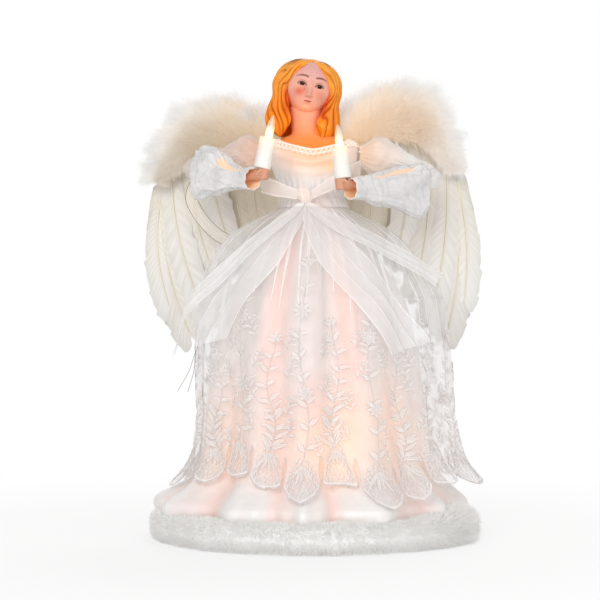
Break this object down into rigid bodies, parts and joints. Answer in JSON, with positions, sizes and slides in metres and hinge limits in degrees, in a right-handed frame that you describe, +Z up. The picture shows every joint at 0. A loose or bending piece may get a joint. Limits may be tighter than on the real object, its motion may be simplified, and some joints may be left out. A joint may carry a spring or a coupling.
{
  "type": "angel tree topper",
  "caption": "Lighted angel tree topper: dressed doll on a hollow cone that drops over a treetop, with feather wings, layered skirts, fur hem and lit candles.",
  "frame": {"origin": "centre of the base, on the plane that the cone's rim and the fur hem stand on", "axes": "+Z up along the cone's axis, -Y the way the face looks, +X to the viewer's right"},
  "size_m": [0.2282, 0.2082, 0.3056],
  "materials": {
    "white_plastic": "moulded, satin",
    "holder_plastic": "moulded, satin",
    "candle_plastic": "smooth, translucent cream",
    "grommet_rubber": "matte",
    "lead_wire": "twisted insulated pair, satin",
    "soft_steel": "drawn wire",
    "lamp_glass": "clear, lit warm white",
    "painted_resin": "hand painted: pink skin, golden hair",
    "satin": "polished, lit from inside",
    "organza": "sheer, embroidered in white",
    "brocade": "white with silver thread",
    "ribbon": "sheer with bright edges",
    "lace": "eyelet lace",
    "faux_fur": "long white pile",
    "feather": "natural white",
    "marabou": "cream down"
  },
  "bodies": {
    "figure": {"cone_shell": "white_plastic", "cord_grommet": "grommet_rubber", "light_string_wire": "lead_wire", "lamp_holder_1": "holder_plastic", "lamp_holder_2": "holder_plastic", "lamp_holder_3": "holder_plastic", "lamp_holder_4": "holder_plastic", "lamp_holder_5": "holder_plastic", "lamp_holder_6": "holder_plastic", "lamp_holder_7": "holder_plastic", "lamp_holder_8": "holder_plastic", "torso_core": "white_plastic", "head_casting": "painted_resin", "bodice": "satin", "neckline_lace": "lace", "underskirt": "satin", "overskirt": "organza", "fur_hem": "faux_fur", "waist_sash": "ribbon", "bow_knot": "ribbon", "bow_loop_left": "ribbon", "bow_loop_right": "ribbon", "ribbon_tail_1": "ribbon", "ribbon_tail_2": "ribbon", "ribbon_tail_3": "ribbon", "ribbon_tail_4": "ribbon", "wing_bracket": "white_plastic"},
    "arm_left": {"arm_wire_left": "soft_steel", "candle_lead_left": "lead_wire", "sleeve_puff_left": "organza", "sleeve_cuff_left": "brocade", "hand_left": "painted_resin", "candle_tube_left": "candle_plastic", "candle_holder_left": "holder_plastic"},
    "arm_right": {"arm_wire_right": "soft_steel", "candle_lead_right": "lead_wire", "sleeve_puff_right": "organza", "sleeve_cuff_right": "brocade", "hand_right": "painted_resin", "candle_tube_right": "candle_plastic", "candle_holder_right": "holder_plastic"},
    "candle_lamp_left": {"candle_lamp_left": "lamp_glass"},
    "candle_lamp_right": {"candle_lamp_right": "lamp_glass"},
    "wing_left": {"wing_stem_left": "soft_steel", "wing_feathers_left": "feather", "wing_marabou_left": "marabou"},
    "wing_right": {"wing_stem_right": "soft_steel", "wing_feathers_right": "feather", "wing_marabou_right": "marabou"},
    "lamp_1": {"lamp_1": "lamp_glass"},
    "lamp_2": {"lamp_2": "lamp_glass"},
    "lamp_3": {"lamp_3": "lamp_glass"},
    "lamp_4": {"lamp_4": "lamp_glass"},
    "lamp_5": {"lamp_5": "lamp_glass"},
    "lamp_6": {"lamp_6": "lamp_glass"},
    "lamp_7": {"lamp_7": "lamp_glass"},
    "lamp_8": {"lamp_8": "lamp_glass"}
  },
  "joints": [
    {"name": "arm_left_swing", "type": "hinge", "parent": "figure", "child": "arm_left", "pos_m": [-0.03, 0.002, 0.245], "axis": [1, 0, 0], "range_deg": [-12, 12]},
    {"name": "arm_right_swing", "type": "hinge", "parent": "figure", "child": "arm_right", "pos_m": [0.03, 0.002, 0.245], "axis": [1, 0, 0], "range_deg": [-12, 12]},
    {"name": "candle_lamp_left_pull", "type": "slide", "parent": "arm_left", "child": "candle_lamp_left", "axis": [0.2079, 0, 0.9781], "range_m": [0, 0.009]},
    {"name": "candle_lamp_right_pull", "type": "slide", "parent": "arm_right", "child": "candle_lamp_right", "axis": [-0.1045, 0, 0.9945], "range_m": [0, 0.009]},
    {"name": "wing_left_fold", "type": "hinge", "parent": "figure", "child": "wing_left", "pos_m": [-0.008, 0.023, 0.244], "axis": [0, 0, -1], "range_deg": [0, 30]},
    {"name": "wing_right_fold", "type": "hinge", "parent": "figure", "child": "wing_right", "pos_m": [0.008, 0.023, 0.244], "axis": [0, 0, 1], "range_deg": [0, 30]},
    {"name": "lamp_1_pull", "type": "slide", "parent": "figure", "child": "lamp_1", "axis": [0.119, -0.9692, 0.2154], "range_m": [0, 0.009]},
    {"name": "lamp_2_pull", "type": "slide", "parent": "figure", "child": "lamp_2", "axis": [0.9586, -0.1863, 0.2154], "range_m": [0, 0.009]},
    {"name": "lamp_3_pull", "type": "slide", "parent": "figure", "child": "lamp_3", "axis": [0.4734, 0.8541, 0.2154], "range_m": [0, 0.009]},
    {"name": "lamp_4_pull", "type": "slide", "parent": "figure", "child": "lamp_4", "axis": [-0.666, 0.7142, 0.2154], "range_m": [0, 0.009]},
    {"name": "lamp_5_pull", "type": "slide", "parent": "figure", "child": "lamp_5", "axis": [-0.885, -0.4127, 0.2154], "range_m": [0, 0.009]},
    {"name": "lamp_6_pull", "type": "slide", "parent": "figure", "child": "lamp_6", "axis": [0.6277, -0.7481, 0.2154], "range_m": [0, 0.009]},
    {"name": "lamp_7_pull", "type": "slide", "parent": "figure", "child": "lamp_7", "axis": [0.334, 0.9176, 0.2154], "range_m": [0, 0.009]},
    {"name": "lamp_8_pull", "type": "slide", "parent": "figure", "child": "lamp_8", "axis": [-0.9617, -0.1696, 0.2154], "range_m": [0, 0.009]}
  ]
}
